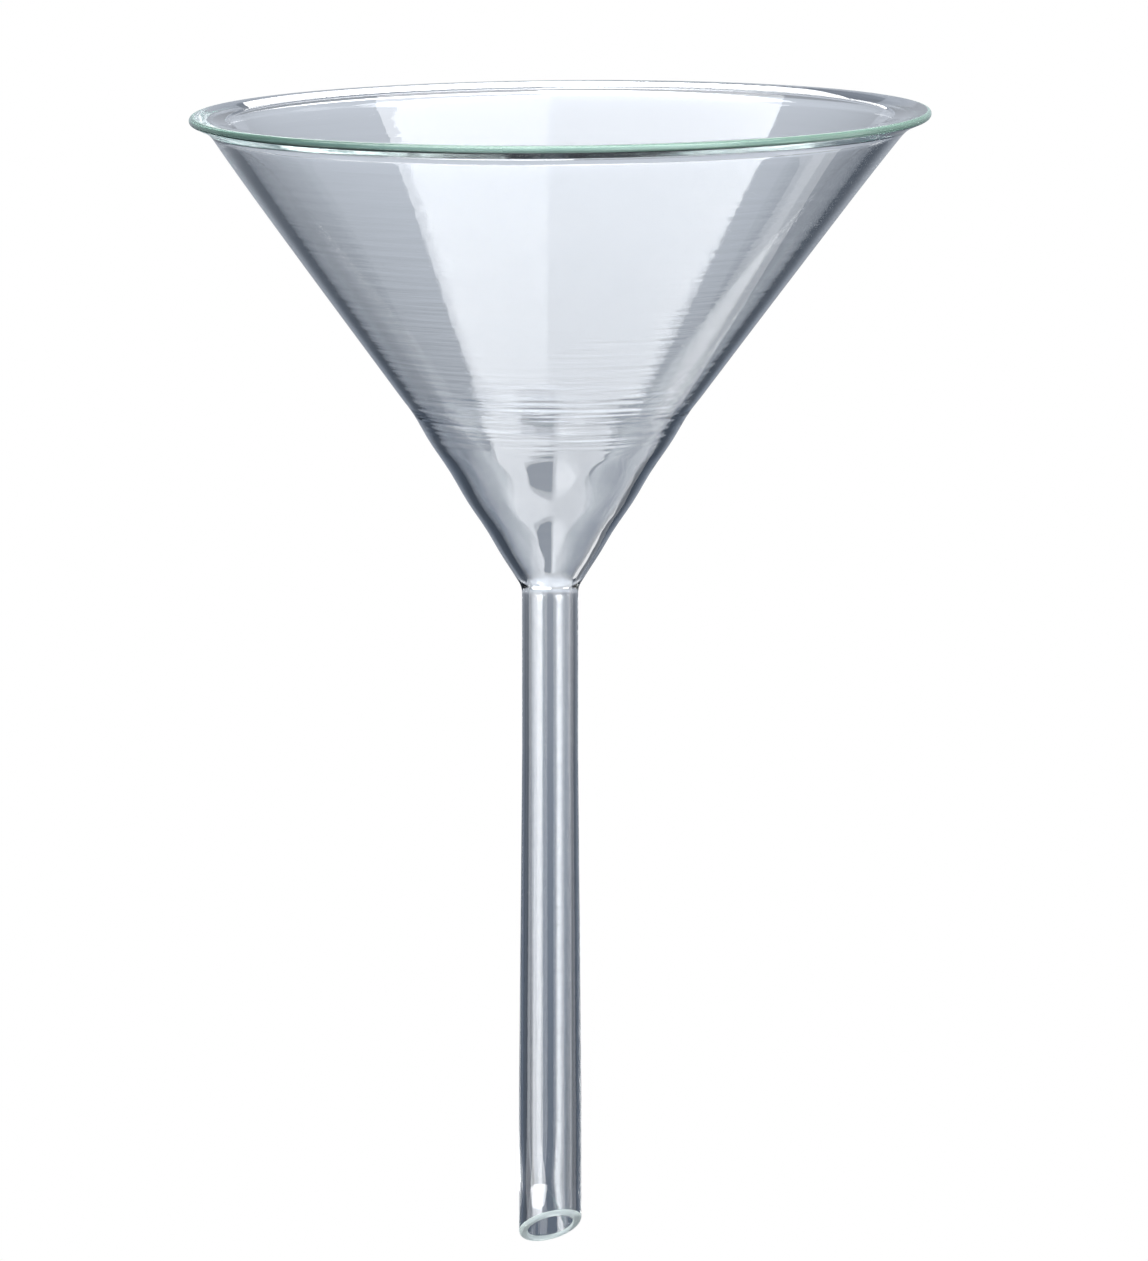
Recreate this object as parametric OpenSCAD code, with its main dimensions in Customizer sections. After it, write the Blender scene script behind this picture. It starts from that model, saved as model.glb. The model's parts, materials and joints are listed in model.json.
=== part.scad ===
// Long-stem glass funnel for the laboratory.
// A conical bowl with a flared, fire-polished lip is welded to a drawn stem with a bevelled tip.
// The glass is one piece, turned about Z. The bowl opens upwards and the tip's bevel faces -Y.
// The origin lies on the axis, in the middle of the straight stretch at the stem's lower end.

/* [Rim] */
// Outer diameter of the rim
rim_d = 100; // [70:1:150]
// Width of the flared lip, from the rim in to the edge of the bowl
lip_w = 5; // [3.5:0.1:8]
// Slope of the lip's top, rising to the rim, in degrees
lip_top_slope = 10; // [0:1:20]
// Slope of the lip's underside, rising to the rim, in degrees
lip_under_slope = 24; // [18:1:36]
// Thickness of the rounded edge of the rim
rim_edge = 1.3; // [0.8:0.1:2]
// Radius of the edge between the lip's top and the inside of the bowl
lip_inner_r = 0.9; // [0.3:0.1:2]
// Radius of the hollow between the lip's underside and the outside of the bowl
lip_outer_r = 5; // [2:0.5:12]

/* [Bowl] */
// Half angle of the upper bowl on the outside, in degrees
upper_angle = 36.5; // [30:0.1:42]
// Half angle of the lower bowl on the outside, in degrees
lower_angle = 32.1; // [26:0.1:36]
// Depth of the bend between the upper and the lower bowl, below the middle of the rim
bend_depth = 39.9; // [25:0.1:45]
// Radius of that bend
bend_r = 55; // [10:1:120]
// Thickness of the wall at the lip
lip_wall = 2.7; // [1.6:0.1:3.2]
// Thickness of the wall at the bend and below it
wall = 1.4; // [0.9:0.1:2]

/* [Stem] */
// Length of the stem on its axis, from the weld to the bevelled cut
stem_len = 88.5; // [50:0.5:200]
// Outer diameter of the stem at the weld
stem_top_d = 7.6; // [6.8:0.1:11]
// Outer diameter of the stem at the tip
stem_end_d = 8.5; // [7:0.1:12]
// Diameter of the bore
bore_d = 5.9; // [3:0.1:6]
// Length of the straight stretch below the weld
top_straight = 23; // [4:0.5:28]
// Length of the straight stretch above the cut, on the axis
end_straight = 18; // [10:0.5:20]
// Slope of the bevelled cut, in degrees from level
bevel = 35; // [0:1:55]
// Radius of the hollow where the bowl is welded to the stem
weld_r = 3; // [0.5:0.5:8]
// Radius of the throat, where the bowl runs into the bore
throat_r = 3; // [0.5:0.5:8]

/* [Hidden] */

glass = [0.74, 0.79, 0.82];
// Largest turn between two points of a rounded stretch, in degrees
arc_turn = 6;
// Fewest steps in a rounded stretch
arc_steps = 4;
// Largest share of a side that the rounding of one of its corners may take up
fillet_share = 0.48;
// How far cutting bodies reach past what they cut
overcut = 1;

rim_r = rim_d / 2;
edge_r = rim_edge / 2;
stem_top_r = stem_top_d / 2;
stem_end_r = stem_end_d / 2;
bore_r = bore_d / 2;

// Heights along the stem
cut_z = -end_straight / 2;
end_straight_z = cut_z + end_straight;
weld_z = cut_z + stem_len;
top_straight_z = weld_z - top_straight;
tube_z = cut_z - stem_end_r * tan(bevel) - overcut;

// Unit vectors in the [radius, height] plane, at an angle from level
function level_dir(angle) = [cos(angle), sin(angle)];
// The same direction turned left by a quarter
function left_of(v) = [-v[1], v[0]];
function cross2(u, v) = u[0] * v[1] - u[1] * v[0];
// Where the line through p along u meets the line through q along v
function meet(p, u, q, v) = p + u * cross2(q - p, v) / cross2(u, v);

// Directions of the surfaces, all pointing up and outwards
lip_top_dir = level_dir(lip_top_slope);
lip_under_dir = level_dir(lip_under_slope);
upper_dir = level_dir(90 - upper_angle);
lower_dir = level_dir(90 - lower_angle);

// The lip, as offsets from the middle of the rim: its rounded edge is a circle between two slopes
edge_mid = [rim_r - edge_r, 0];
on_lip_top = edge_mid + left_of(lip_top_dir) * edge_r;
on_lip_under = edge_mid - left_of(lip_under_dir) * edge_r;
lip_inside = meet(on_lip_top, lip_top_dir, [rim_r - lip_w, 0], [0, 1]);

// The outside of the bowl, from the lip down to the weld
on_upper = lip_inside - left_of(upper_dir) * lip_wall;
lip_root = meet(on_lip_under, lip_under_dir, on_upper, upper_dir);
bend = meet(on_upper, upper_dir, [0, -bend_depth], [1, 0]);
weld = meet(bend, lower_dir, [stem_top_r, 0], [0, 1]);

// The inside of the bowl, from the bend down to the throat
bend_inside = bend + left_of(level_dir(90 - (upper_angle + lower_angle) / 2)) * wall;
throat = meet(bend_inside, lower_dir, [bore_r, 0], [0, 1]);

// Lifts a point of the bowl from the frame of the rim to the part's own
rim_z = weld_z - weld[1];
function lift(p) = p + [0, rim_z];

// The rounded edge of the rim, from the lip's underside round to its top
edge_turn = 180 + lip_top_slope - lip_under_slope;
edge_steps = ceil(edge_turn / arc_turn);
rim_corners = [
    for (i = [0 : edge_steps])
        [lift(edge_mid + level_dir(lip_under_slope - 90 + edge_turn * i / edge_steps) * edge_r), 0]
];

// The section's corners in order, up the outside and down the inside, each with its radius
section = [
    [[stem_end_r, tube_z], 0],
    [[stem_end_r, end_straight_z], 0],
    [[stem_top_r, top_straight_z], 0],
    [lift(weld), weld_r],
    [lift(bend), bend_r],
    [lift(lip_root), lip_outer_r],
    each rim_corners,
    [lift(lip_inside), lip_inner_r],
    [lift(bend_inside), bend_r],
    [lift(throat), throat_r],
    [[bore_r, tube_z], 0],
];

// The points that round corner b, between its neighbours a and c, with radius r
function rounded(a, b, c, r) =
    let (
        back = (a - b) / norm(a - b),
        ahead = (c - b) / norm(c - b),
        half = acos(back * ahead) / 2,
        reach = min(r / tan(half), fillet_share * min(norm(a - b), norm(c - b))),
        radius = reach * tan(half),
        middle = b + (back + ahead) / norm(back + ahead) * radius / sin(half),
        spoke = b + back * reach - middle,
        turn = (90 - half) * 2 * sign(cross2(b - a, c - b)),
        steps = max(arc_steps, ceil(abs(turn) / arc_turn))
    )
    r == 0 ? [b] : [
        for (i = [0 : steps])
            let (angle = turn * i / steps)
            middle + spoke * cos(angle) + left_of(spoke) * sin(angle)
    ];

// The whole section, with its corners rounded
function outline(corners) = [
    for (i = [0 : len(corners) - 1])
        let (
            before = corners[(i + len(corners) - 1) % len(corners)],
            here = corners[i],
            after = corners[(i + 1) % len(corners)]
        )
        each rounded(before[0], here[0], after[0], here[1])
];

// Everything below the slanting plane of the tip's cut
module bevel_cut() {
    reach = stem_end_d + stem_end_r * tan(bevel) + overcut;
    translate([0, 0, cut_z])
        rotate([-bevel, 0, 0])
            translate([-reach, -reach, -2 * reach])
                cube(2 * reach);
}

// The funnel's glass: its section turned about the axis, with the tip cut off at a slant
module funnel() {
    color(glass)
        difference() {
            rotate_extrude($fn = 180) polygon(outline(section));
            bevel_cut();
        }
}

funnel();
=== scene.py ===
import json
import math

import bpy
from bpy.props import FloatProperty, FloatVectorProperty, IntProperty, PointerProperty
from bpy.types import Operator, Panel, PropertyGroup
from mathutils import Matrix, Vector


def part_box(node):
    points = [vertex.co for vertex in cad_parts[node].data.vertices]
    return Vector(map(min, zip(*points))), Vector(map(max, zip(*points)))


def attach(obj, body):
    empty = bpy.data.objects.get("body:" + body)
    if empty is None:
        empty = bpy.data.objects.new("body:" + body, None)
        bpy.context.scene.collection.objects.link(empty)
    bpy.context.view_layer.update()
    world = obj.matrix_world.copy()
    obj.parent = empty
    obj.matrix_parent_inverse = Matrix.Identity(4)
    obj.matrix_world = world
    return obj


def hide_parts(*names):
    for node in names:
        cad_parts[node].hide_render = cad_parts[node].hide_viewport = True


bl_info = {
    "name": "Glass Funnel",
    "version": (1, 0, 0),
    "blender": (4, 5, 0),
    "location": "3D View > Sidebar > Funnel",
    "description": "Builds a long-stem laboratory funnel of clear glass, with its studio and camera",
    "category": "Object",
}

MM = 0.001
UP = Vector((0, 0, 1))

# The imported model: its box, and the sizes that its record states
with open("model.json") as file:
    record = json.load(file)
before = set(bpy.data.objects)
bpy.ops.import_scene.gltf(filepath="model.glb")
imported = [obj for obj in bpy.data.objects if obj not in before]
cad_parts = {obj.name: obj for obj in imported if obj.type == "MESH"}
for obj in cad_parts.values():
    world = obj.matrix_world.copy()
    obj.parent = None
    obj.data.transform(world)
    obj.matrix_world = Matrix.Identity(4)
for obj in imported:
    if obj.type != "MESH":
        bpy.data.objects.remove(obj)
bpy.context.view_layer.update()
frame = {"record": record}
FUNNEL_LOW, FUNNEL_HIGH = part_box("funnel")
MOUNTS = {mount["name"]: mount for mount in frame["record"]["mounts"]}
RIM_DIAMETER = round(FUNNEL_HIGH[1] - FUNNEL_LOW[1], 4)
STEM_END_DIAMETER = 2 * MOUNTS["stem_end"]["dims"]["r_mm"] * MM
BORE_DIAMETER = 2 * MOUNTS["stem_bore"]["dims"]["r_mm"] * MM


# Properties

def length(name, description, default):
    """A length that a user may change, in metres."""
    return FloatProperty(
        name=name, description=description, default=default, min=0.0, precision=5, unit="LENGTH")


def place(name, description, default):
    """A distance that may be negative, in metres."""
    return FloatProperty(name=name, description=description, default=default, precision=5, unit="LENGTH")


def angle(name, description, degrees):
    """An angle that a user may change, given in degrees."""
    return FloatProperty(
        name=name, description=description, default=math.radians(degrees), subtype="ANGLE", unit="ROTATION")


def colour(name, description, default):
    """A colour that a user may change."""
    return FloatVectorProperty(
        name=name, description=description, default=default, size=3, min=0.0, max=1.0, subtype="COLOR")


def amount(name, description, default):
    """A plain number that a user may change."""
    return FloatProperty(name=name, description=description, default=default, min=0.0, precision=4)


def share(name, description, default):
    """A share between nought and one that a user may change."""
    return FloatProperty(
        name=name, description=description, default=default, min=0.0, max=1.0, subtype="FACTOR")


class FunnelSizes(PropertyGroup):
    """Sizes of the glass."""
    rim_diameter: length("Rim Diameter", "Outer diameter of the rim", RIM_DIAMETER)
    lip_width: length("Lip Width", "Width of the flared lip, from the rim to the bowl's edge", 5 * MM)
    lip_top_slope: angle("Lip Top Slope", "Slope of the lip's top, rising to the rim", 10)
    lip_under_slope: angle("Lip Under Slope", "Slope of the lip's underside, rising to the rim", 24)
    rim_edge: length("Rim Edge", "Thickness of the lip at the edge of the rim", 1.3 * MM)
    bead: length("Bead", "Thickness of the bead that the rolled rim ends in", 1.144 * MM)
    lip_roll: angle("Lip Roll", "Slope of the lip's top where it rolls over to the rim", 1)
    roll_width: length("Roll Width", "Width of the rolled stretch at the rim", 1.8 * MM)
    roll_radius: length("Roll Radius", "Rounding where the lip's top begins to roll over", 7.2 * MM)
    lip_inner_radius: length("Lip Inner Radius", "Rounding between the lip's top and the bowl", 0.9 * MM)
    lip_outer_radius: length("Lip Outer Radius", "Hollow between the lip's underside and the bowl", 5 * MM)
    upper_angle: angle("Upper Angle", "Half angle of the upper bowl on the outside", 36.5)
    lower_angle: angle("Lower Angle", "Half angle of the lower bowl on the outside", 32.1)
    bend_depth: length("Bend Depth", "Depth of the bowl's bend below the middle of the rim", 39.9 * MM)
    bend_radius: length("Bend Radius", "Radius of the bowl's bend", 55 * MM)
    lip_wall: length("Wall at the Lip", "Thickness of the wall at the lip", 2.7 * MM)
    wall: length("Wall", "Thickness of the wall at the bend and below it", 1.4 * MM)
    stem_length: length("Stem Length", "Length of the stem on its axis, from the weld to the cut", 88.5 * MM)
    stem_top_diameter: length("Stem Top Diameter", "Outer diameter of the stem at the weld", 7.6 * MM)
    stem_end_diameter: length("Stem End Diameter", "Outer diameter of the stem at the tip", STEM_END_DIAMETER)
    bore_diameter: length("Bore Diameter", "Diameter of the stem's bore", BORE_DIAMETER)
    top_straight: length("Top Straight", "Length of the straight stretch below the weld", 23 * MM)
    end_straight: length("End Straight", "Length of the straight stretch above the cut", 18 * MM)
    bevel: angle("Bevel", "Slope of the cut at the tip", 35)
    weld_radius: length("Weld Radius", "Hollow where the bowl is welded to the stem", 3 * MM)
    throat_radius: length("Throat Radius", "Rounding where the bowl runs into the bore", 3 * MM)
    tip_polish: length("Tip Polish", "Rounding that the flame left on the outer edge of the cut", 0.75 * MM)
    tip_draw: length("Tip Draw", "How far the flame drew the cut back up the stem", 0.3 * MM)
    bore_polish: length("Bore Polish", "Rounding that the flame left on the bore's edge", 0.3 * MM)
    bore_flare: length("Bore Flare", "How far the bore opens out at the cut", 0.12 * MM)
    columns: IntProperty(name="Columns", description="Columns of faces round the funnel", default=180, min=24)


class GlassFinish(PropertyGroup):
    """Colours and surface of the glass."""
    clear_tint: colour("Clear Tint", "Colour of the glass seen through its wall", (0.99, 0.993, 0.997))
    cool_tint: colour("Cool Tint", "Colour that the clear glass shades into", (0.975, 0.985, 0.993))
    depth_tint: colour("Depth Tint", "Colour that light takes on along the glass", (0.88, 0.95, 0.94))
    depth: amount("Depth", "How strongly light takes on that colour, for each metre of glass", 12.0)
    refraction: amount("Refraction", "Refractive index of the glass", 1.5)
    edge_tint: colour("Edge Tint", "Colour of the glass at the rim", (0.56, 0.90, 0.73))
    # The rim's shade colour is painted shade: the rim darkens towards its left side, with a little random
    # smearing mixed in
    edge_shade: colour("Edge Shade", "Colour that the rim shades into", (0.26, 0.50, 0.40))
    edge_rough: share("Edge Roughness", "Roughness of the glass at the rim", 0.12)
    edge_clear: share("Edge Clearness", "Share of the light that passes through the rim", 0.7)
    cut_tint: colour("Cut Tint", "Colour of the glass at the cut of the tip", (0.88, 0.98, 0.94))
    cut_shade: colour("Cut Shade", "Colour that the cut shades into", (0.76, 0.94, 0.88))
    cut_rough: share("Cut Roughness", "Roughness of the glass at the cut", 0.35)
    cut_clear: share("Cut Clearness", "Share of the light that passes through the cut", 0.5)
    ripple_depth: length("Ripple Depth", "Depth of the drawn rings at the bowl's bend", 0.2 * MM)
    ripple_spread: length("Ripple Spread", "Height that the drawn rings fade over", 3 * MM)
    wave_depth: length("Wave Depth", "Depth of the soft waves in the lower bowl", 0.09 * MM)
    wave_pitch: length("Wave Pitch", "Height of one soft wave in the lower bowl", 8.2 * MM)
    uneven: length("Unevenness", "How far the blown bowl strays from a true cone", 0.03 * MM)
    bowl_lean: angle("Bowl Lean", "Lean of the bowl on its hand-made weld", 0.7)
    rim_lean: angle("Rim Lean", "Lean of the hand-flared rim", 0.5)
    rim_shift: length("Rim Shift", "How far the hand-flared rim sits off the bowl's axis", 0.6 * MM)
    flat_depth: length("Flat Depth", "Depth of the small flat pressed into the stem above the cut", 0.42 * MM)
    flat_width: length("Flat Width", "Half the width of that flat", 2.2 * MM)
    flat_height: length("Flat Height", "Half the height of that flat", 3.6 * MM)
    flat_lift: length("Flat Lift", "Height of that flat's middle above the cut", 7.225 * MM)
    flat_turn: angle("Flat Turn", "Turn of that flat to the left, from the side facing the camera", 25)


class StudioSetup(PropertyGroup):
    """Camera and lights."""
    azimuth: angle("Azimuth", "Turn of the camera round the funnel, from its front", -21)
    elevation: angle("Elevation", "Angle of the camera above level", 7.76)
    distance: length("Distance", "Distance from the camera to the point that it looks at", 1.517)
    focal_length: FloatProperty(
        name="Focal Length", description="Focal length of the camera", default=319.5, min=1.0, unit="CAMERA")
    aim_height: place("Aim Height", "Height on the axis that the camera looks past", 68.5 * MM)
    aim_right: place("Aim Right", "How far to the right of the axis the camera looks", 3.24 * MM)
    aim_up: place("Aim Up", "How far above that height the camera looks", 4.96 * MM)
    fill: amount("Fill", "Brightness of the studio's dim surroundings", 0.4)
    overhead: amount("Overhead", "Brightness of the boxes above", 5.3)
    front: amount("Front", "Brightness of the boxes on either side of the camera", 4.5)
    high_back: amount("High Back", "Brightness of the boxes high behind the funnel", 3.0)
    low_card: amount("Low Card", "Brightness of the card low behind the funnel on the right", 0.8)
    card: amount("Card", "Brightness of the card between the boxes on the left and the rim", 0.3)
    spark: amount("Spark", "Brightness of the lamp on the left of the camera", 12.0)
    sky_tint: colour("Sky Tint", "Colour of the backdrop above and of the fill", (0.84, 0.90, 1.0))
    low_tint: colour("Low Tint", "Colour of the backdrop below", (0.60, 0.75, 1.0))


# Node trees

class Wire:
    """One output in a node tree, so that trees can be written as sums and products."""

    def __init__(self, tree, socket):
        self.tree = tree
        self.socket = socket

    def maths(self, operation, *others):
        return add_node(self.tree, "ShaderNodeMath", self, *others, operation=operation)

    def __add__(self, other):
        return self.maths("ADD", other)

    def __sub__(self, other):
        return self.maths("SUBTRACT", other)

    def __rsub__(self, other):
        return add_node(self.tree, "ShaderNodeMath", other, self, operation="SUBTRACT")

    def __mul__(self, other):
        return self.maths("MULTIPLY", other)

    def __truediv__(self, other):
        return self.maths("DIVIDE", other)

    def clamped(self):
        return self.maths("MAXIMUM", 0.0).maths("MINIMUM", 1.0)

    def bell(self, middle, spread):
        """One at the middle, falling off to either side over the spread."""
        offset = (self - middle) / spread
        return (offset * offset * -1.0).maths("EXPONENT")

    def slide(self, start, end):
        """Nought at the start, one at the end, and smooth between."""
        return add_node(
            self.tree, "ShaderNodeMapRange", self, start, end, 0.0, 1.0, interpolation_type="SMOOTHSTEP")


def plug(tree, socket, value):
    """Feeds a socket by a wire or by a plain value."""
    if isinstance(value, Wire):
        tree.links.new(value.socket, socket)
    else:
        socket.default_value = value


def add_node(tree, kind, *values, output=0, named=None, **settings):
    """Adds a node, feeds its inputs in order or by name, and returns one of its outputs."""
    made = tree.nodes.new(kind)
    for key, setting in settings.items():
        setattr(made, key, setting)
    free = [socket for socket in made.inputs if socket.enabled]
    for socket, value in zip(free, values):
        plug(tree, socket, value)
    for key, value in (named or {}).items():
        plug(tree, made.inputs[key], value)
    outputs = [socket for socket in made.outputs if socket.enabled]
    return Wire(tree, made.outputs[output] if isinstance(output, str) else outputs[output])


def split(wire):
    """The three parts of a vector."""
    parts = wire.tree.nodes.new("ShaderNodeSeparateXYZ")
    wire.tree.links.new(wire.socket, parts.inputs[0])
    return [Wire(wire.tree, socket) for socket in parts.outputs]


def joined(tree, x, y, z):
    """A vector made of three parts."""
    return add_node(tree, "ShaderNodeCombineXYZ", x, y, z)


def blend(tree, factor, first, second):
    """A colour between two."""
    return add_node(tree, "ShaderNodeMix", data_type="RGBA", output="Result", named={
        "Factor": factor, "A": (*first, 1), "B": (*second, 1)})


# The section of the glass

def level_dir(slope):
    """Unit vector in the (radius, height) plane, at an angle from level."""
    return Vector((math.cos(slope), math.sin(slope)))


def left_of(direction):
    return Vector((-direction.y, direction.x))


def cross(u, v):
    return u.x * v.y - u.y * v.x


def meet(p, u, q, v):
    """Where the line through p along u meets the line through q along v."""
    return p + u * (cross(q - p, v) / cross(u, v))


def cut_height(sizes):
    """Height of the cut on the axis."""
    return -sizes.end_straight / 2


def weld_height(sizes):
    """Height of the weld between the stem and the bowl."""
    return cut_height(sizes) + sizes.stem_length


def tip_top(sizes):
    """Height at which the slant of the cut has faded out."""
    return cut_height(sizes) + sizes.stem_end_diameter


def bowl_corners(sizes):
    """Corners of the bowl and its lip by name, with the middle of the rim at height nought."""
    upright = Vector((0, 1))
    top_dir = level_dir(sizes.lip_top_slope)
    under_dir = level_dir(sizes.lip_under_slope)
    roll_dir = level_dir(sizes.lip_roll)
    upper_dir = level_dir(math.pi / 2 - sizes.upper_angle)
    lower_dir = level_dir(math.pi / 2 - sizes.lower_angle)
    bend_dir = level_dir(math.pi / 2 - (sizes.upper_angle + sizes.lower_angle) / 2)
    rim_radius = sizes.rim_diameter / 2
    edge_radius = sizes.rim_edge / 2
    bead_radius = sizes.bead / 2

    edge = Vector((rim_radius - edge_radius, 0))
    on_top = edge + left_of(top_dir) * edge_radius
    on_under = edge - left_of(under_dir) * edge_radius
    lip_inside = meet(on_top, top_dir, Vector((rim_radius - sizes.lip_width, 0)), upright)
    lip_roll = meet(on_top, top_dir, Vector((rim_radius - sizes.roll_width, 0)), upright)
    bead_side = Vector((rim_radius - bead_radius, 0))
    on_upper = lip_inside - left_of(upper_dir) * sizes.lip_wall
    bend = meet(on_upper, upper_dir, Vector((0, -sizes.bend_depth)), Vector((1, 0)))
    bend_inside = bend + left_of(bend_dir) * sizes.wall
    return {
        "bead": meet(lip_roll - left_of(roll_dir) * bead_radius, roll_dir, bead_side, upright),
        "lip_roll": lip_roll,
        "lip_inside": lip_inside,
        "lip_root": meet(on_under, under_dir, on_upper, upper_dir),
        "bend": bend,
        "bend_inside": bend_inside,
        "weld": meet(bend, lower_dir, Vector((sizes.stem_top_diameter / 2, 0)), upright),
        "throat": meet(bend_inside, lower_dir, Vector((sizes.bore_diameter / 2, 0)), upright),
    }


def rim_height(sizes):
    """Height of the middle of the rim."""
    return weld_height(sizes) - bowl_corners(sizes)["weld"].y


def bend_height(sizes):
    """Height of the bowl's bend."""
    return rim_height(sizes) - sizes.bend_depth


def arc(middle, spoke, turn, step=math.radians(5), fewest=8):
    """Points along a round stretch."""
    steps = max(fewest, math.ceil(abs(turn) / step))
    return [
        middle + spoke * math.cos(turn * i / steps) + left_of(spoke) * math.sin(turn * i / steps)
        for i in range(steps + 1)
    ]


def rounded(before, corner, after, radius, share=0.48):
    """The points that round a corner, within a share of the sides to its neighbours."""
    back = (before - corner).normalized()
    ahead = (after - corner).normalized()
    half = math.acos(back.dot(ahead)) / 2
    shorter = min((before - corner).length, (after - corner).length)
    reach = min(radius / math.tan(half), share * shorter)
    middle = corner + (back + ahead).normalized() * (reach / math.cos(half))
    turn = math.copysign(math.pi - 2 * half, cross(corner - before, after - corner))
    return arc(middle, corner + back * reach - middle, turn)


def section_corners(sizes):
    """The section's corners in order, up the outside and down the inside.

    Each has its rounding, and one where the flame worked an edge, nought elsewhere.
    """
    cut = cut_height(sizes)
    bowl = bowl_corners(sizes)
    lift = Vector((0, rim_height(sizes)))
    end_radius = sizes.stem_end_diameter / 2
    bore_radius = sizes.bore_diameter / 2
    edge_start = sizes.lip_under_slope - math.pi / 2
    edge_turn = math.pi + sizes.lip_roll - sizes.lip_under_slope
    edge_arc = arc(bowl["bead"], level_dir(edge_start) * sizes.bead / 2, edge_turn)
    # The first sixth of the bead's arc, at the lip's underside, stays clear
    bead_start = len(edge_arc) // 6
    return [
        (Vector((end_radius, cut + sizes.tip_draw)), sizes.tip_polish, 1),
        (Vector((end_radius, cut + sizes.end_straight)), 0, 0),
        (Vector((sizes.stem_top_diameter / 2, weld_height(sizes) - sizes.top_straight)), 0, 0),
        (bowl["weld"] + lift, sizes.weld_radius, 0),
        (bowl["bend"] + lift, sizes.bend_radius, 0),
        (bowl["lip_root"] + lift, sizes.lip_outer_radius, 0),
        *((point + lift, 0, 1 if i > bead_start else 0) for i, point in enumerate(edge_arc)),
        (bowl["lip_roll"] + lift, sizes.roll_radius, 0),
        (bowl["lip_inside"] + lift, sizes.lip_inner_radius, 0),
        (bowl["bend_inside"] + lift, sizes.bend_radius, 0),
        (bowl["throat"] + lift, sizes.throat_radius, 0),
        (Vector((bore_radius, cut + sizes.bore_diameter)), 0, 0),
        (Vector((bore_radius + sizes.bore_flare, cut + sizes.tip_draw)), sizes.bore_polish, 1),
    ]


def section_points(sizes, finish):
    """The closed section as (point, worked edge), its corners rounded and its straight runs broken up."""
    corners = section_corners(sizes)
    points = []
    for i, (corner, radius, edge) in enumerate(corners):
        before = corners[i - 1][0]
        after = corners[(i + 1) % len(corners)][0]
        bent = rounded(before, corner, after, radius) if radius else [corner]
        points += [(point, edge) for point in bent]

    long_step, tip_step, ripple_step = 1.6 * MM, 0.6 * MM, 0.14 * MM
    slant_top = tip_top(sizes)
    bend = bend_height(sizes)
    ripple_reach = 2 * finish.ripple_spread
    fine = []
    for (here, edge), (after, next_edge) in zip(points, points[1:] + points[:1]):
        run = after - here
        done = 0.0
        while done < run.length:
            point = here + run * (done / run.length)
            fine.append((point, edge if done == 0 else edge * next_edge))
            step = tip_step if point.y < slant_top else long_step
            if abs(point.y - bend) < ripple_reach:
                step = ripple_step
            done += step
            if run.length - done < step / 2:
                break
    return fine + fine[:1]


# The turned glass

def turning_inputs(tree):
    """Gives the tree its named inputs and its output, and returns the inputs as wires."""
    numbers = (
        "Bevel Slope", "Bevel Top", "Bevel Foot",
        "Ripple Height", "Ripple Spread", "Ripple Depth",
        "Wave Depth", "Wave Pitch", "Unevenness",
        "Weld Height", "Bowl Lean",
        "Rim Lean", "Rim Height", "Rim Shift", "Lean Azimuth",
        "Flat Depth", "Flat Width", "Flat Height", "Flat Middle", "Flat Azimuth",
    )
    kinds = {
        "Section": "NodeSocketGeometry",
        "Columns": "NodeSocketInt",
        **dict.fromkeys(numbers, "NodeSocketFloat"),
        **dict.fromkeys(("Glass", "Edge Glass", "Cut Glass"), "NodeSocketMaterial"),
    }
    for name, kind in kinds.items():
        tree.interface.new_socket(name, in_out="INPUT", socket_type=kind)
    tree.interface.new_socket("Geometry", in_out="OUTPUT", socket_type="NodeSocketGeometry")
    source = tree.nodes.new("NodeGroupInput")
    return {socket.name: Wire(tree, socket) for socket in source.outputs if socket.name}


def noise_on_glass(cosine, sine, height, around, upward, detail, rough=0.5):
    """Noise between nought and one, with its own pace round the glass and up it."""
    tree = height.tree
    where = joined(tree, cosine * around, sine * around, height * upward)
    return add_node(tree, "ShaderNodeTexNoise", noise_dimensions="3D", named={
        "Vector": where, "Scale": 1.0, "Detail": detail, "Roughness": rough})


def drawn_rings(given, turn, cosine, sine, height):
    """Offset of the drawn rings at the bend. They are strongest at the front and the back."""
    at_sides, more_at_front = 0.4, 1.6
    noise = noise_on_glass(cosine, sine, height, around=0.35, upward=900, detail=2.0, rough=0.55)
    fade = height.bell(given["Ripple Height"], given["Ripple Spread"])
    front = (turn - given["Lean Azimuth"]).maths("SINE")
    return (noise - 0.5) * given["Ripple Depth"] * fade * (front * front * more_at_front + at_sides)


def soft_waves(given, height, in_bowl):
    """Offset of the soft waves in the bowl below the bend."""
    fade_top = given["Ripple Height"] + given["Wave Pitch"] * 0.25
    below_bend = height.slide(fade_top, given["Ripple Height"])
    wave = ((height - given["Ripple Height"]) / given["Wave Pitch"] * math.tau).maths("COSINE")
    return wave * given["Wave Depth"] * in_bowl * below_bend * -1.0


def unevenness(given, cosine, sine, height, in_bowl):
    """Offset of the blown bowl from a true cone."""
    noise = noise_on_glass(cosine, sine, height, around=1.3, upward=60, detail=1.0)
    return (noise - 0.5) * given["Unevenness"] * in_bowl * 2


def pressed_flat(given, turn, radius, height, outside):
    """Depth of the small flat pressed into the outside of the stem above the cut."""
    offset = turn - given["Flat Azimuth"]
    across = offset.maths("SINE") * radius
    facing = offset.maths("COSINE").maths("GREATER_THAN", 0.0)
    pressed = across.bell(0.0, given["Flat Width"]) * height.bell(given["Flat Middle"], given["Flat Height"])
    return pressed * given["Flat Depth"] * facing * outside


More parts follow.
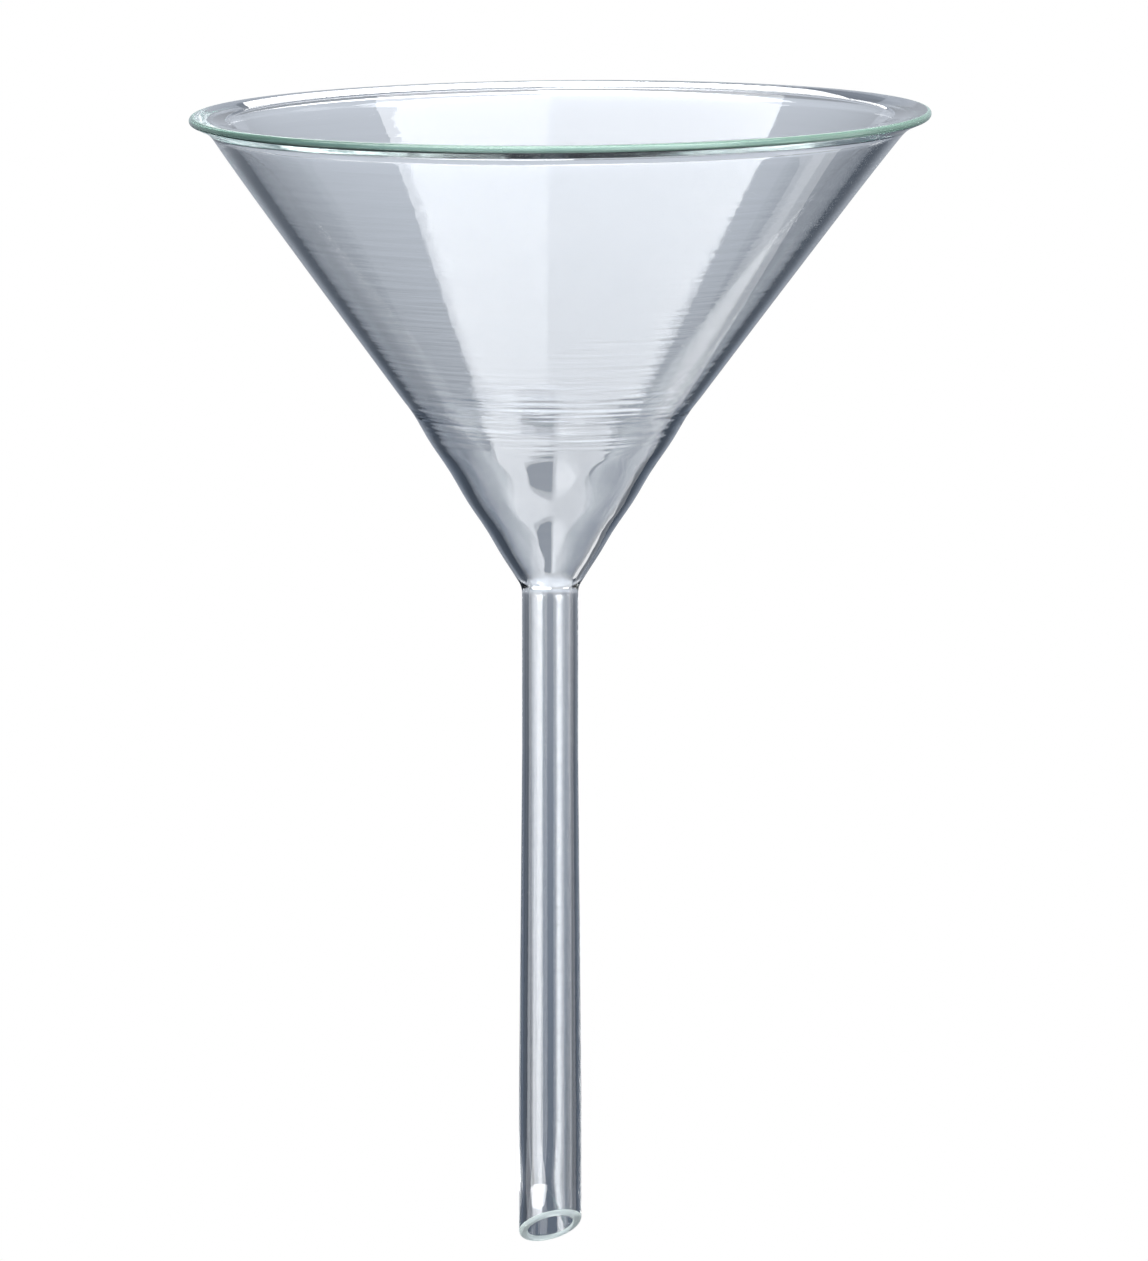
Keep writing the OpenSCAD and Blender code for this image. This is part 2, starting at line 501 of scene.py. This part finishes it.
def worked_place(given, turn, cosine, sine, radius, height):
    """Where a point lies after the slanting cut, the bowl's lean on its weld and the lean of the rim."""
    # The higher the power, the closer to the rim its shift and its lean begin
    shift_power, lean_power = 12.0, 4.0
    x = radius * cosine
    y = radius * sine
    near_tip = ((given["Bevel Top"] - height) / (given["Bevel Top"] - given["Bevel Foot"])).clamped()
    above_weld = (height - given["Weld Height"]).maths("MAXIMUM", 0.0)
    to_rim = above_weld / (given["Rim Height"] - given["Weld Height"])
    rim_shift = given["Rim Shift"] * to_rim.maths("POWER", shift_power)
    bowl_shift = above_weld * given["Bowl Lean"] * to_rim + rim_shift
    high_side = (turn - given["Lean Azimuth"]).maths("COSINE") * radius
    rim_rise = high_side * given["Rim Lean"] * to_rim.maths("POWER", lean_power)
    height = height - y * given["Bevel Slope"] * near_tip + rim_rise
    x = x + bowl_shift * given["Lean Azimuth"].maths("COSINE")
    y = y + bowl_shift * given["Lean Azimuth"].maths("SINE")
    return joined(height.tree, x, y, height)


def glazed(given, whole, position):
    """Gives the wall, the rim and the cut their glass."""
    tree = whole.tree
    # A face belongs to a worked edge where more than this share of its corners does
    edge_share = 0.75
    walled = add_node(tree, "GeometryNodeSetMaterial", whole, named={"Material": given["Glass"]})
    stored = add_node(tree, "GeometryNodeInputNamedAttribute", "worked_edge", data_type="FLOAT")
    on_edge = add_node(
        tree, "FunctionNodeCompare", stored, edge_share, data_type="FLOAT", operation="GREATER_THAN")
    edged = add_node(tree, "GeometryNodeSetMaterial", walled, named={
        "Selection": on_edge, "Material": given["Edge Glass"]})
    low = split(position)[2].maths("LESS_THAN", given["Weld Height"])
    on_cut = add_node(tree, "FunctionNodeBooleanMath", on_edge, low, operation="AND")
    return add_node(tree, "GeometryNodeSetMaterial", edged, named={
        "Selection": on_cut, "Material": given["Cut Glass"]})


def turning_tree():
    """A tree that turns a section line about Z and works the glass as a lamp worker would."""
    tree = bpy.data.node_groups.new("Turned Glass", "GeometryNodeTree")
    given = turning_inputs(tree)

    # A flat sheet of rows along the section and columns round the axis
    rows = add_node(tree, "GeometryNodeAttributeDomainSize", given["Section"], component="MESH")
    sheet = add_node(tree, "GeometryNodeMeshGrid", 1.0, 1.0, given["Columns"] + 1, rows)
    index = add_node(tree, "GeometryNodeInputIndex")
    # Keeps the division from falling just short of a whole number
    nudge = 1e-4
    column = (index / rows + nudge).maths("FLOOR")
    row = index - column * rows
    turn = column / given["Columns"] * math.tau
    cosine = turn.maths("COSINE")
    sine = turn.maths("SINE")

    # What the section says of each row
    position = add_node(tree, "GeometryNodeInputPosition")
    on_section = add_node(
        tree, "GeometryNodeSampleIndex", given["Section"], position, row, data_type="FLOAT_VECTOR")
    radius, _, height = split(on_section)
    edge = add_node(tree, "GeometryNodeInputNamedAttribute", "worked_edge", data_type="FLOAT")
    worked = add_node(tree, "GeometryNodeSampleIndex", given["Section"], edge, row, data_type="FLOAT")
    # The first row and its closing copy stay together at the cut, so neither counts as outside
    outside = row.maths("GREATER_THAN", 0.5) * row.maths("LESS_THAN", rows * 0.5)

    # The marks of hand work
    in_bowl = height.slide(given["Weld Height"], given["Weld Height"] + given["Wave Pitch"])
    ripple = drawn_rings(given, turn, cosine, sine, height)
    wave = soft_waves(given, height, in_bowl)
    stray = unevenness(given, cosine, sine, height, in_bowl)
    flat = pressed_flat(given, turn, radius, height, outside)
    radius = radius + ripple + wave + stray - flat

    # The turned and closed glass
    seam_gap = 2e-6
    turned = add_node(tree, "GeometryNodeSetPosition", sheet, named={
        "Position": worked_place(given, turn, cosine, sine, radius, height)})
    marked = add_node(
        tree, "GeometryNodeStoreNamedAttribute", turned, named={"Name": "worked_edge", "Value": worked},
        data_type="FLOAT", domain="POINT")
    closed = add_node(tree, "GeometryNodeMergeByDistance", marked, named={"Distance": seam_gap})
    smooth = add_node(tree, "GeometryNodeSetShadeSmooth", closed)
    whole = add_node(tree, "GeometryNodeRealizeInstances", smooth)
    sink = tree.nodes.new("NodeGroupOutput")
    plug(tree, sink.inputs[0], glazed(given, whole, position))
    return tree


def mesh_from_tree(name, line, tree, values):
    """Runs the tree on a section line and keeps the result as a plain mesh object."""
    mesh = bpy.data.meshes.new(name)
    mesh.from_pydata([(point.x, 0, point.y) for point, _ in line], [], [])
    worked = mesh.attributes.new("worked_edge", "FLOAT", "POINT")
    for spot, (_, edge) in zip(worked.data, line):
        spot.value = edge
    piece = bpy.data.objects.new(name, mesh)
    bpy.context.scene.collection.objects.link(piece)
    modifier = piece.modifiers.new("Turn", "NODES")
    modifier.node_group = tree
    sockets = {
        item.name: item.identifier for item in tree.interface.items_tree
        if item.item_type == "SOCKET" and item.in_out == "INPUT"
    }
    for key, value in values.items():
        modifier[sockets[key]] = value
    evaluated = piece.evaluated_get(bpy.context.evaluated_depsgraph_get())
    solid = bpy.data.meshes.new_from_object(evaluated)
    if not solid.polygons:
        raise RuntimeError(f"{name} came out without faces")
    piece.modifiers.remove(modifier)
    piece.data = solid
    solid.name = name
    bpy.data.meshes.remove(mesh)
    return piece


# Materials

def blank_material(name):
    """A material with an empty tree and its output node."""
    material = bpy.data.materials.new(name)
    material.use_nodes = True
    tree = material.node_tree
    tree.nodes.clear()
    return material, tree, tree.nodes.new("ShaderNodeOutputMaterial")


def glass_shader(tree, out, tint, rough, refraction, clear):
    """A shader of glass, linked to the material's output."""
    shader = tree.nodes.new("ShaderNodeBsdfPrincipled")
    plug(tree, shader.inputs["Base Color"], tint)
    plug(tree, shader.inputs["Roughness"], rough)
    shader.inputs["IOR"].default_value = refraction
    shader.inputs["Transmission Weight"].default_value = clear
    tree.links.new(shader.outputs["BSDF"], out.inputs["Surface"])
    return shader


def clear_glass(sizes, finish):
    """Clear glass with the faint streaks of drawn glass."""
    material, tree, out = blank_material("clear_glass")
    rim = rim_height(sizes)
    bend = bend_height(sizes)
    where = add_node(tree, "ShaderNodeTexCoord", output="Object")
    height = split(where)[2]

    # Slight changes of tint and gloss over the glass
    smear = add_node(tree, "ShaderNodeTexNoise", where, named={"Scale": 90.0, "Detail": 2.0})
    tint = blend(tree, smear, finish.clear_tint, finish.cool_tint)
    shader = glass_shader(tree, out, tint, smear * 0.02, finish.refraction, 1.0)

    # Fine rings left by drawing and turning the hot glass, strongest just above the bend
    ring_fade, least_at_rim = 4 * MM, 0.2
    drawn = add_node(tree, "ShaderNodeMapping", where, named={"Scale": (25, 25, 1100)})
    streaks = add_node(tree, "ShaderNodeTexNoise", drawn, named={
        "Scale": 1.0, "Detail": 3.0, "Roughness": 0.6})
    towards_bend = height.slide(rim, bend) * (1 - least_at_rim) + least_at_rim
    upper = height.slide(bend - ring_fade, bend) * towards_bend
    bump = add_node(tree, "ShaderNodeBump", named={
        "Strength": 0.45, "Distance": 0.06 * MM, "Height": streaks * upper})
    plug(tree, shader.inputs["Normal"], bump)

    depth = add_node(tree, "ShaderNodeVolumeAbsorption", named={
        "Color": (*finish.depth_tint, 1), "Density": finish.depth})
    plug(tree, out.inputs["Volume"], depth)
    return material


def edge_glass(name, tint, shade, rough, refraction, clear):
    """The glass's own green at a worked edge, where the light is scattered, with painted shade darkening the
    rim towards its left.
    """
    material, tree, out = blank_material(name)
    where = add_node(tree, "ShaderNodeTexCoord", output="Object")
    smear = add_node(tree, "ShaderNodeTexNoise", where, named={"Scale": 45.0, "Detail": 1.0})
    # Painted shade darkens the rim towards its left, and both edges vary a little in random smears
    painted_shade_start, painted_shade_end, smear_share = -20 * MM, -46 * MM, 0.2
    painted_shade_to_left = split(where)[0].slide(painted_shade_start, painted_shade_end)
    painted_shade_and_smear = painted_shade_to_left * (1 - smear_share) + smear * smear_share
    glass_shader(tree, out, blend(tree, painted_shade_and_smear, tint, shade), smear * 0.1 + rough, refraction, clear)
    return material


def glow(name, tint, strength):
    """A stage material that shines evenly."""
    material, tree, out = blank_material(name)
    shine = add_node(tree, "ShaderNodeEmission", named={"Color": (*tint, 1), "Strength": strength})
    plug(tree, out.inputs["Surface"], shine)
    return material


def backdrop_glow(studio, right, away):
    """The backdrop's glow: brighter above, dimmer to the sides."""
    material, tree, out = blank_material("backdrop")
    where = add_node(tree, "ShaderNodeTexCoord", output="Object")
    x, y, z = split(where)

    # Brightness at the foot and in the middle, and what the top adds
    foot, middle, top = -0.10, 0.05, 0.12
    foot_glow, middle_glow, top_gain = 0.17, 0.41, 0.32
    upward = add_node(tree, "ShaderNodeMapRange", z, foot, middle, foot_glow, middle_glow)
    upward = upward + add_node(tree, "ShaderNodeMapRange", z, middle, top, 0.0, top_gain)

    # Loss of brightness at the sides, which is less above
    side_start, side_end = math.radians(14), math.radians(26)
    low_loss, less_above, less_from = 0.5, 0.28, -0.02
    aside = (x * right.x + y * right.y).maths("ARCTAN2", x * away.x + y * away.y).maths("ABSOLUTE")
    loss = low_loss - z.slide(less_from, middle) * less_above
    sides = 1.0 - aside.slide(side_start, side_end) * loss

    tint_top = 0.06
    tint = blend(tree, z.slide(foot, tint_top), studio.low_tint, studio.sky_tint)
    shine = add_node(tree, "ShaderNodeEmission", named={"Color": tint, "Strength": upward * sides})
    plug(tree, out.inputs["Surface"], shine)
    return material


# Stage

def studio_axes(studio):
    """The camera's right and the direction away from it, both level."""
    turn = studio.azimuth
    right = Vector((math.cos(turn), math.sin(turn), 0))
    away = Vector((-math.sin(turn), math.cos(turn), 0))
    return right, away


def stage_mesh(name, points, faces, material):
    """A piece of the stage from points and faces."""
    mesh = bpy.data.meshes.new(name)
    mesh.from_pydata(points, [], faces)
    mesh.materials.append(material)
    piece = bpy.data.objects.new(name, mesh)
    bpy.context.scene.collection.objects.link(piece)
    return piece


def softbox(name, centre, target, width, height, brightness, upright):
    """A rectangular light of even brightness that faces its target."""
    light = bpy.data.lights.new(name, "AREA")
    light.shape = "RECTANGLE"
    light.size = width
    light.size_y = height
    light.energy = brightness * math.pi * width * height
    box = bpy.data.objects.new(name, light)
    bpy.context.scene.collection.objects.link(box)
    front = (target - centre).normalized()
    across = front.cross(upright).normalized()
    up = across.cross(front)
    turned = Matrix((across, up, -front)).transposed().to_4x4()
    box.matrix_world = Matrix.Translation(centre) @ turned


def span(reach, start, end):
    """Width of a flat box, at a distance, that fills the angle between two turns in degrees."""
    return 2 * reach * math.tan(math.radians(end - start) / 2)


def make_ceiling(studio):
    """Level boxes above the funnel."""
    right, away = studio_axes(studio)
    above = 1.15
    # Left, right, front and back edge, and share of the brightness
    boxes = {
        "overhead_left": (-1.08, 0.03, -0.62, 0.45, 0.80),
        "overhead_right": (0.03, 1.25, -0.62, 0.0, 1.0),
        "overhead_front_left": (-1.08, -0.14, -0.95, -0.62, 1.2),
        "overhead_front_edge": (-0.14, -0.06, -0.95, -0.62, 0.6),
        "overhead_front_right": (0.58, 1.25, -0.95, -0.62, 1.2),
    }
    for name, (left, far_right, front, back, share) in boxes.items():
        centre = right * (left + far_right) / 2 + away * (front + back) / 2 + UP * above
        softbox(name, centre, centre - UP, far_right - left, back - front, studio.overhead * share, away)


def make_uprights(studio):
    """Upright boxes on either side of the camera."""
    right, away = studio_axes(studio)
    reach, low = 1.1, -0.5
    # Start and end as turns from the camera, in degrees, top edge and share of the brightness
    boxes = {
        "side_left": (-96, -70, 0.1, 0.55),
        "front_left": (-68, -35, 0.1, 1.65),
        "front_right": (15, 55, 0.95, 0.42),
        "side_right": (84, 110, 0.95, 0.3),
    }
    for name, (start, end, top, share) in boxes.items():
        turn = math.radians(start + end) / 2
        middle = UP * (low + top) / 2
        centre = (right * math.sin(turn) - away * math.cos(turn)) * reach + middle
        softbox(name, centre, middle, span(reach, start, end), top - low, studio.front * share, UP)


def make_back_boxes(studio):
    """Two boxes high behind the funnel."""
    right, away = studio_axes(studio)
    rim = UP * FUNNEL_HIGH[2]
    reach = 0.95
    # Turns from straight back and angles above the rim, in degrees
    boxes = {"high_back_left": (-13, 0, 13, 34), "high_back_right": (0, 13, 19.5, 34)}
    for name, (start, end, low, high) in boxes.items():
        turn, rise = math.radians(start + end) / 2, math.radians(low + high) / 2
        level = right * math.sin(turn) + away * math.cos(turn)
        centre = rim + (level * math.cos(rise) + UP * math.sin(rise)) * reach
        softbox(name, centre, rim, span(reach, start, end), span(reach, low, high), studio.high_back, UP)


def make_small_lights(studio):
    """A small card low behind the funnel on the right, and a wide lamp on the left of the camera."""
    right, away = studio_axes(studio)
    turn, reach = math.radians(48), 0.28
    height, aim_height = -0.115, 0.12
    width, tall = 0.12, 0.09
    centre = (away * math.cos(turn) + right * math.sin(turn)) * reach + UP * height
    softbox("low_card", centre, UP * aim_height, width, tall, studio.low_card, UP)

    turn, reach, height = math.radians(-50), 2.0, 0.04
    width, tall = 1.7, 0.42
    centre = (right * math.sin(turn) - away * math.cos(turn)) * reach + UP * height
    softbox("spark", centre, UP * height, width, tall, studio.spark, UP)


def make_room(studio):
    """A dim room round the glass, which is white where the camera looks straight at it."""
    world = bpy.data.worlds.new("room")
    bpy.context.scene.world = world
    world.use_nodes = True
    tree = world.node_tree
    tree.nodes.clear()
    white = (1, 1, 1)
    dim = [part * studio.fill for part in studio.sky_tint]
    straight = add_node(tree, "ShaderNodeLightPath", output="Is Camera Ray")
    room = add_node(tree, "ShaderNodeBackground", named={
        "Color": blend(tree, straight, dim, white), "Strength": 1.0})
    out = tree.nodes.new("ShaderNodeOutputWorld")
    plug(tree, out.inputs["Surface"], room)


def make_floor():
    """A pale round floor below the tip, which the glass doesn't show."""
    corners, radius, drop = 64, 3.0, 0.08
    low = FUNNEL_LOW[2] - drop
    turns = [math.tau * i / corners for i in range(corners)]
    points = [(radius * math.cos(turn), radius * math.sin(turn), low) for turn in turns]
    floor = stage_mesh("floor", points, [tuple(range(corners))], glow("pale_floor", (1, 1, 1), 1.0))
    floor.visible_transmission = False
    floor.visible_glossy = False
    floor.visible_diffuse = False


def bent_sheet(name, turns, radius, heights, material, ahead, right):
    """An upright sheet bent round the funnel, seen only in the glass.

    Its turns are in degrees, from straight ahead to the right.
    """
    strips = 40
    start, end = (math.radians(turn) for turn in turns)
    points = []
    for i in range(strips + 1):
        turn = start + (end - start) * i / strips
        spoke = (right * math.sin(turn) + ahead * math.cos(turn)) * radius
        points += [(spoke.x, spoke.y, height) for height in heights]
    faces = [(2 * i, 2 * i + 2, 2 * i + 3, 2 * i + 1) for i in range(strips)]
    sheet = stage_mesh(name, points, faces, material)
    sheet.visible_camera = False
    return sheet


def make_sheets(studio):
    """The backdrop, and a dim card that keeps the boxes on the left from the rim."""
    right, away = studio_axes(studio)
    backdrop = bent_sheet(
        "backdrop", turns=(-62, 62), radius=0.55, heights=(-0.45, 0.26),
        material=backdrop_glow(studio, right, away), ahead=away, right=right)
    backdrop.visible_shadow = False
    bent_sheet(
        "card", turns=(-105, -25), radius=0.2, heights=(0.062, 0.3),
        material=glow("dim_card", studio.sky_tint, studio.card), ahead=-away, right=right)


def make_camera(studio):
    """The camera, at the photograph's viewing angle."""
    right, away = studio_axes(studio)
    back = -away * math.cos(studio.elevation) + UP * math.sin(studio.elevation)
    above = back.cross(right)
    target = UP * studio.aim_height + right * studio.aim_right + above * studio.aim_up
    lens = bpy.data.cameras.new("camera")
    lens.lens = studio.focal_length
    lens.sensor_width = 36
    camera = bpy.data.objects.new("camera", lens)
    bpy.context.scene.collection.objects.link(camera)
    turned = Matrix((right, above, back)).transposed().to_4x4()
    camera.matrix_world = Matrix.Translation(target + back * studio.distance) @ turned
    bpy.context.scene.camera = camera


# Operators

class FUNNEL_OT_stage(Operator):
    """Sets up the camera, the lights, the floor, the backdrop and the card"""
    bl_idname = "funnel.stage"
    bl_label = "Set Up Stage"

    def execute(self, context):
        scene = context.scene
        studio = scene.funnel_studio
        make_camera(studio)
        make_ceiling(studio)
        make_uprights(studio)
        make_back_boxes(studio)
        make_small_lights(studio)
        make_room(studio)
        make_floor()
        make_sheets(studio)
        scene.view_settings.view_transform = "Standard"
        scene.cycles.max_bounces = 32
        scene.cycles.transmission_bounces = 32
        scene.cycles.glossy_bounces = 16
        return {"FINISHED"}


class FUNNEL_OT_glass(Operator):
    """Turns the funnel's glass from its section"""
    bl_idname = "funnel.glass"
    bl_label = "Turn Glass"

    def execute(self, context):
        sizes = context.scene.funnel_sizes
        finish = context.scene.funnel_finish
        to_right = context.scene.funnel_studio.azimuth
        to_camera = to_right - math.pi / 2
        cut = cut_height(sizes)
        wall_glass = clear_glass(sizes, finish)
        # The rim glass carries painted shade towards its left; the cut glass varies only in random smears
        rim_glass = edge_glass(
            "rim_glass", finish.edge_tint, finish.edge_shade,
            finish.edge_rough, finish.refraction, finish.edge_clear)
        cut_glass = edge_glass(
            "cut_glass", finish.cut_tint, finish.cut_shade,
            finish.cut_rough, finish.refraction, finish.cut_clear)
        glass = mesh_from_tree("funnel_glass", section_points(sizes, finish), turning_tree(), {
            "Columns": sizes.columns,
            "Bevel Slope": math.tan(sizes.bevel),
            "Bevel Top": tip_top(sizes),
            "Bevel Foot": cut,
            "Ripple Height": bend_height(sizes),
            "Ripple Spread": finish.ripple_spread,
            "Ripple Depth": finish.ripple_depth,
            "Wave Depth": finish.wave_depth,
            "Wave Pitch": finish.wave_pitch,
            "Unevenness": finish.uneven,
            "Weld Height": weld_height(sizes),
            "Bowl Lean": math.tan(finish.bowl_lean),
            "Rim Lean": math.tan(finish.rim_lean),
            "Rim Height": rim_height(sizes),
            "Rim Shift": finish.rim_shift,
            "Lean Azimuth": to_right,
            "Flat Depth": finish.flat_depth,
            "Flat Width": finish.flat_width,
            "Flat Height": finish.flat_height,
            "Flat Middle": cut + finish.flat_lift,
            "Flat Azimuth": to_camera - finish.flat_turn,
            "Glass": wall_glass,
            "Edge Glass": rim_glass,
            "Cut Glass": cut_glass,
        })
        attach(glass, "root")
        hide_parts("funnel")
        return {"FINISHED"}


class FUNNEL_PT_sidebar(Panel):
    """The funnel's pieces and their properties"""
    bl_idname = "FUNNEL_PT_sidebar"
    bl_label = "Glass Funnel"
    bl_space_type = "VIEW_3D"
    bl_region_type = "UI"
    bl_category = "Funnel"

    def draw(self, context):
        layout = self.layout
        layout.operator(FUNNEL_OT_glass.bl_idname)
        layout.operator(FUNNEL_OT_stage.bl_idname)
        for group in (context.scene.funnel_sizes, context.scene.funnel_finish, context.scene.funnel_studio):
            column = layout.column(align=True)
            for key in group.__annotations__:
                column.prop(group, key)


CLASSES = (FunnelSizes, GlassFinish, StudioSetup, FUNNEL_OT_glass, FUNNEL_OT_stage, FUNNEL_PT_sidebar)


def register():
    for item in CLASSES:
        bpy.utils.register_class(item)
    bpy.types.Scene.funnel_sizes = PointerProperty(type=FunnelSizes)
    bpy.types.Scene.funnel_finish = PointerProperty(type=GlassFinish)
    bpy.types.Scene.funnel_studio = PointerProperty(type=StudioSetup)


def unregister():
    del bpy.types.Scene.funnel_studio
    del bpy.types.Scene.funnel_finish
    del bpy.types.Scene.funnel_sizes
    for item in reversed(CLASSES):
        bpy.utils.unregister_class(item)


def main():
    register()
    bpy.ops.funnel.glass()
    bpy.ops.funnel.stage()


if __name__ == "__main__":
    main()
